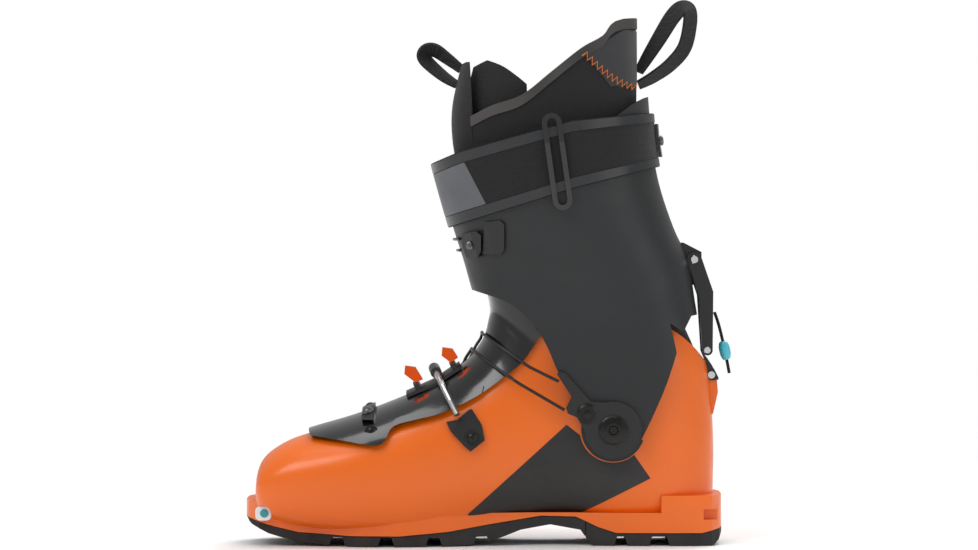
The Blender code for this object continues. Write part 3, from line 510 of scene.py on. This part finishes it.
def make_arch_panel():
    for side, word in ((MEDIAL, "medial"), (LATERAL, "lateral")):
        outline = ARCH_PANEL[:6] + arc((PIVOT.x, PIVOT.z), 21, -50, -170, 16)
        panel = patch("arch_panel_" + word, outline, SHELL_STATIONS, -0.6, 0.22, side)
        soften(panel, 0.15)
        finish_piece(panel, "shell", CHARCOAL)


def make_cuff():
    cuff = form("moulded_cuff", CUFF_STATIONS)
    cut(cuff, form("inside", CUFF_STATIONS, -CUFF_WALL))
    front = CUFF_FRONT[:1] + smooth_outline(CUFF_FRONT[1:], 4)
    lower = arc((PIVOT.x, PIVOT.z), 20, 165, 340, 32)
    outline = front + lower + smooth_outline(CUFF_REAR[:5], 3) + CUFF_REAR[5:]
    outline += list(reversed(smooth_outline(CUFF_TOP, 4)))
    keep(cuff, prism("edge", outline, -90, 90))
    cut(cuff, prism("room", arc((PIVOT.x, PIVOT.z), 75.8, 0, 352.5, 47), -40.4, 40.4))
    cut(cuff, prism("overlap slit", box(-70, 100, 8, 300), 13, 14.4))
    notch = [(112, 110), (160, 110), (160, 168), (112, 162)]
    cut(cuff, prism("lock notch", notch, -13.7, 13.7))
    soften(cuff, 0.7)
    return finish_piece(cuff, "cuff", CUFF_GREY, "cuff_shell")


def make_tongue():
    centre = (PIVOT.x, PIVOT.z)
    edge = smooth_outline(TONGUE_EDGE, 4)
    outline = edge + [(26, 148)] + arc(centre, 114.7, 128, 150, 12) + [(-60, 131), (-125, 95)]
    tongue = patch("moulded_tongue", outline, SHELL_STATIONS, TONGUE_LOW, TONGUE_HIGH, 0)
    soften(tongue, 0.8)
    return finish_piece(tongue, "shell", GLOSS_BLACK, "tongue_lower")


def make_liner():
    """One soft boot that bends at the ankle, with its tongue in the slot at the front."""
    skin = form("liner_boot", SHELL_STATIONS, -LINER_DEPTH)
    cut(skin, form("hollow", SHELL_STATIONS, -LINER_DEPTH - LINER_WALL))
    top = smooth_outline(LINER_TOP, 5)
    cut(skin, prism("above", top + [(140, 400), (-60, 400)], -90, 90))
    slot = [(-80, 196), (0, 196), (-6, 240), (-10, 400), (-80, 400)]
    cut(skin, prism("slot", slot, -30, 30))
    cut(skin, prism("below", [(-170, -10), (170, -10), (170, 37), (-170, 25)], -90, 90))
    soften(skin, 2.2, 30, 5)
    finish_piece(skin, None, LINER, "liner_foot", "liner_cuff")
    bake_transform(skin)
    wrap = form("liner_tongue_wrap", SHELL_STATIONS, -LINER_DEPTH - LINER_WALL - 0.2)
    cut(wrap, form("hollow", SHELL_STATIONS, -LINER_DEPTH - LINER_WALL - 5.2))
    top = [(-26, 270), (-18, 298), (-13, 306), (-3.8, 308.3), (10.2, 303.8), (19.7, 297.5), (27, 291.5)]
    keep(wrap, prism("side", [(-20, 215)] + smooth_outline(top, 4) + [(30, 215)], -90, 90))
    soften(wrap, 1.8, 30, 4)
    finish_piece(wrap, "cuff", LINER)
    tongue = form("liner_tongue_pad", SHELL_STATIONS, -LINER_DEPTH)
    cut(tongue, form("hollow", SHELL_STATIONS, -LINER_DEPTH - LINER_WALL))
    outline = [(5, 170), (-4.6, 220), (-7, 270), (-9, 306), (-60, 306), (-80, 170)]
    keep(tongue, prism("slot", outline, -29.4, 29.4))
    soften(tongue, 2.4, 30, 5)
    finish_piece(tongue, "cuff", LINER, "liner_tongue")


def lerp_outline(top, bottom, share):
    """A line between two outlines given at the same x."""
    xs = sorted({x for x, _ in top + bottom})

    def height(points, x):
        for (x0, z0), (x1, z1) in zip(points, points[1:]):
            if x0 <= x <= x1:
                return z0 + (z1 - z0) * (x - x0) / (x1 - x0)
        return points[0][1] if x < points[0][0] else points[-1][1]

    return [(x, height(bottom, x) + (height(top, x) - height(bottom, x)) * share) for x in xs]


def strap_band(low, high):
    upper, lower = lerp_outline(STRAP_TOP, STRAP_BOTTOM, high), lerp_outline(STRAP_TOP, STRAP_BOTTOM, low)
    return upper + list(reversed(lower))


def make_strap():
    """The webbing strap with its two glossy border bands and the plain patch at the front."""
    strap = patch("webbing_strap", strap_band(0, 1), CUFF_STATIONS, 0.5, 2.7, 0)
    soften(strap, 0.5)
    finish_piece(strap, "cuff", WEBBING, "power_strap")
    for name, low, high in (("strap_border_upper", 0.84, 0.985), ("strap_border_lower", 0.015, 0.16)):
        band = patch(name, strap_band(low, high), CUFF_STATIONS, 2.4, 3.05, 0)
        soften(band, 0.2)
        finish_piece(band, "cuff", GLOSS_TAPE)
    for side, word in ((MEDIAL, "medial"), (LATERAL, "lateral")):
        tab = patch("strap_patch_" + word, strap_band(0.17, 0.83), CUFF_STATIONS, 2.4, 3.0, side)
        keep(tab, prism("slant", [(-60, 180), (20, 180), (-27, 270), (-60, 270)], -90, 90))
        soften(tab, 0.15)
        finish_piece(tab, "cuff", GREY_TAPE)


def make_tongue_parts():
    """The raised rim along the lower tongue's edge, on each side."""
    edge = smooth_outline(TONGUE_EDGE, 4)
    inner = [(x + 1.2, z + 4.6) for x, z in edge]
    for side, word in ((MEDIAL, "medial"), (LATERAL, "lateral")):
        band = edge[8:34] + list(reversed(inner[8:34]))
        rim = patch("tongue_rim_" + word, band, SHELL_STATIONS, 3.0, 4.2, side)
        soften(rim, 0.45)
        finish_piece(rim, "shell", GLOSS_BLACK)


def make_liner_trim():
    """The piping along the liner's top edge, the grey patch at its rear corner and its stitches."""
    low = [(x, z - 6.7) for x, z in LINER_TOP]
    line = smooth_outline(LINER_TOP, 5)
    under = smooth_outline(low, 5)
    start = 4
    band = line[start:] + list(reversed(under[start:]))
    strip = patch("piping_strip", band, SHELL_STATIONS, -LINER_DEPTH - 0.4, -LINER_DEPTH + 0.8, 0)
    cut(strip, prism("slot", [(-80, 196), (-4, 196), (-9, 400), (-80, 400)], -30, 30))
    soften(strip, 0.4)
    finish_piece(strip, "cuff", PIPING)
    for side, word in ((MEDIAL, "medial"), (LATERAL, "lateral")):
        corner = [(62, 312), (74.5, 317), (88, 326), (97.5, 326), (97.5, 291), (80, 290)]
        low, high = -LINER_DEPTH - 0.4, -LINER_DEPTH + 0.6
        area = patch("heel_patch_" + word, corner, SHELL_STATIONS, low, high, side)
        soften(area, 0.2)
        finish_piece(area, "cuff", PATCH_GREY)
        turns = [
            (62.5 + 35 * t + (1.9 if i % 2 else -1.9) * 0.45,
             311 - 21 * math.sin(math.pi * 0.5 * t) + (1.9 if i % 2 else -1.9))
            for i, t in ((i, i / 22) for i in range(23))
        ]
        stitch_line("stitches_" + word, turns, side)


def stitch_line(name, route, side):
    """A zigzag of thread laid on the liner."""
    skin = form("liner skin", SHELL_STATIONS, -LINER_DEPTH + 0.6)
    tree = BVHTree.FromObject(skin, bpy.context.evaluated_depsgraph_get())
    points = []
    for x, z in route:
        place, _, _, _ = tree.ray_cast(Vector((x, side * 90, z)) * MM, Vector((0, -side, 0)))
        if place:
            points.append(place)
    bpy.data.objects.remove(skin, do_unlink=True)
    curve = bpy.data.curves.new(name, "CURVE")
    curve.dimensions = "3D"
    line = curve.splines.new("POLY")
    line.points.add(len(points) - 1)
    for spot, point in zip(line.points, points):
        spot.co = (*point, 1)
    curve.bevel_depth = 0.45 * MM
    curve.bevel_resolution = 3
    curve.use_fill_caps = True
    curve.materials.append(THREAD)
    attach(link(name, curve), "cuff")


def make_toe_details():
    """The white plate round each toe insert and the blue-green disc in it."""
    for side, word in ((MEDIAL, "medial"), (LATERAL, "lateral")):
        x, z, face = insert_place(side, word)
        plate = prism("toe_plate_" + word, round_outline(x, z, 5.1, 4.6, 3.2),
                      *sorted((side * (face - 1.1), side * (face + 0.25))))
        soften(plate, 0.3)
        finish_piece(plate, "shell", WHITE)
        disc = prism("toe_disc_" + word, round_outline(x + 0.6, z, 2.7, 2.7),
                     *sorted((side * face, side * (face + 0.5))))
        soften(disc, 0.15)
        finish_piece(disc, "shell", TEAL)


def ribbon(name, route, width, thick, lean):
    """A flat band along a route in XZ, turned about its own length by LEAN degrees at each point."""
    rows = spline([(*p, a) for p, a in zip(route, lean)], 8)
    verts, faces = [], []
    for i, (x, z, angle) in enumerate(rows):
        a, b = rows[max(i - 1, 0)], rows[min(i + 1, len(rows) - 1)]
        along = Vector((b[0] - a[0], 0, b[1] - a[1])).normalized()
        side = Vector((0, 1, 0))
        across = along.cross(side)
        turn = math.radians(angle)
        wide = side * math.cos(turn) + across * math.sin(turn)
        deep = across * math.cos(turn) - side * math.sin(turn)
        place = Vector((x, 0, z))
        for w, d in ((-1, -1), (1, -1), (1, 1), (-1, 1)):
            verts.append(place + wide * (w * width / 2) + deep * (d * thick / 2))
    for i in range(len(rows) - 1):
        for k in range(4):
            a, b = 4 * i + k, 4 * i + (k + 1) % 4
            faces.append((a, b, b + 4, a + 4))
    last = len(verts) - 4
    faces += [(0, 1, 2, 3), (last + 3, last + 2, last + 1, last)]
    return mesh_from(name, verts, faces)


def make_pull_loops():
    """The two webbing loops, twisted so that the face of the band shows from the side."""
    route = [(98.6, 300), (104, 309), (112, 322), (120, 335), (126, 341), (131, 340), (131.5, 331),
             (128, 316), (119, 305), (108, 297), (98.6, 292)]
    lean = (20, 30, 40, 45, 45, 40, 40, 40, 35, 28, 20)
    rear = ribbon("rear_webbing_loop", route, 13, 1.6, lean)
    soften(rear, 0.4)
    finish_piece(rear, "cuff", WEBBING, "rear_pull_loop")
    route = [(-17, 292), (-25, 297), (-34, 304.5), (-38.5, 310), (-36.5, 314), (-31, 314),
             (-23, 308.5), (-14.5, 302)]
    lean = (-20, -30, -38, -40, -40, -38, -30, -20)
    front = ribbon("front_webbing_loop", route, 12, 1.6, lean)
    soften(front, 0.4)
    finish_piece(front, "cuff", WEBBING, "front_pull_loop")


def declare_cord():
    """The pull cord keeps its CAD route, as one smooth tube."""
    path = [(147.3, 0, 147), (149.4, 0, 141), (151.2, 0, 134.5), (152.6, 0, 128.5), (153.9, 0, 122.5),
            (155.2, 0, 116.5), (156.8, 0, 108)]
    points = [Vector(p) * MM for p in spline(path, 6)]
    curve = bpy.data.curves.new("lock_pull_cord", "CURVE")
    curve.dimensions = "3D"
    line = curve.splines.new("POLY")
    line.points.add(len(points) - 1)
    for spot, point in zip(line.points, points):
        spot.co = (*point, 1)
    curve.bevel_depth = 1.0 * MM
    curve.bevel_resolution = 6
    curve.use_fill_caps = True
    curve.materials.append(WEBBING)
    cord = link("lock_pull_cord", curve)
    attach(cord, "lock_bar")
    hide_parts("pull_cord")


# ---------------------------------------------------------------- studio

def make_studio():
    floor = bpy.data.meshes.new("floor")
    floor.from_pydata([(-30, -30, 0), (30, -30, 0), (30, 30, 0), (-30, 30, 0)], [], [(0, 1, 2, 3)])
    ground = link("floor", floor)
    white, tree, shader = nodes_of("studio_white")
    shader.inputs["Base Color"].default_value = (0.9, 0.9, 0.9, 1)
    shader.inputs["Roughness"].default_value = 0.9
    place = tree.nodes.new("ShaderNodeTexCoord")
    reach = tree.nodes.new("ShaderNodeVectorMath")
    reach.operation = "LENGTH"
    fade = tree.nodes.new("ShaderNodeMapRange")
    fade.inputs["From Min"].default_value = 0.35
    fade.inputs["From Max"].default_value = 0.95
    tree.links.new(place.outputs["Object"], reach.inputs[0])
    tree.links.new(reach.outputs["Value"], fade.inputs["Value"])
    bright = tree.nodes.new("ShaderNodeEmission")
    blend = tree.nodes.new("ShaderNodeMixShader")
    tree.links.new(fade.outputs["Result"], blend.inputs["Fac"])
    tree.links.new(shader.outputs["BSDF"], blend.inputs[1])
    tree.links.new(bright.outputs["Emission"], blend.inputs[2])
    tree.links.new(blend.outputs["Shader"], tree.nodes["Material Output"].inputs["Surface"])
    ground.data.materials.append(white)
    for name, place, size, power in (
        ("key", (-1.2, -1.4, 1.8), 1.2, 20),
        ("fill", (1.7, -1.4, 0.9), 1.4, 7),
        ("rim", (0.8, 1.3, 1.7), 1.2, 26),
        ("top", (0.0, 0.0, 2.2), 1.4, 17),
    ):
        light = bpy.data.lights.new(name, "AREA")
        light.energy = power
        light.size = size
        lamp = link(name, light)
        lamp.location = place
        lamp.rotation_euler = (Vector((0, 0, 0.15)) - lamp.location).to_track_quat("-Z", "Y").to_euler()
    world = bpy.data.worlds.new("studio")
    world.use_nodes = True
    tree = world.node_tree
    sky = tree.nodes["Background"]
    sky.inputs["Color"].default_value = (1, 1, 1, 1)
    rays = tree.nodes.new("ShaderNodeLightPath")
    level = tree.nodes.new("ShaderNodeMapRange")
    level.inputs["To Min"].default_value = 0.42
    level.inputs["To Max"].default_value = 1.0
    tree.links.new(rays.outputs["Is Camera Ray"], level.inputs["Value"])
    tree.links.new(level.outputs["Result"], sky.inputs["Strength"])
    bpy.context.scene.world = world
    lens = bpy.data.cameras.new("camera")
    lens.lens = 144
    lens.sensor_width = 36
    camera = link("camera", lens)
    camera.location = (0.0032, -2.5, 0.205)
    aim = Vector((0.0032, 0, 0.1707)) - camera.location
    camera.rotation_euler = aim.to_track_quat("-Z", "Y").to_euler()
    bpy.context.scene.camera = camera
    scene = bpy.context.scene
    scene.view_settings.view_transform = "Standard"


make_studio()
paint_cad()
declare_cord()
make_shell()
make_arch_panel()
make_cuff()
make_tongue()
make_liner()
make_strap()
make_tongue_parts()
make_liner_trim()
make_toe_details()
make_pull_loops()
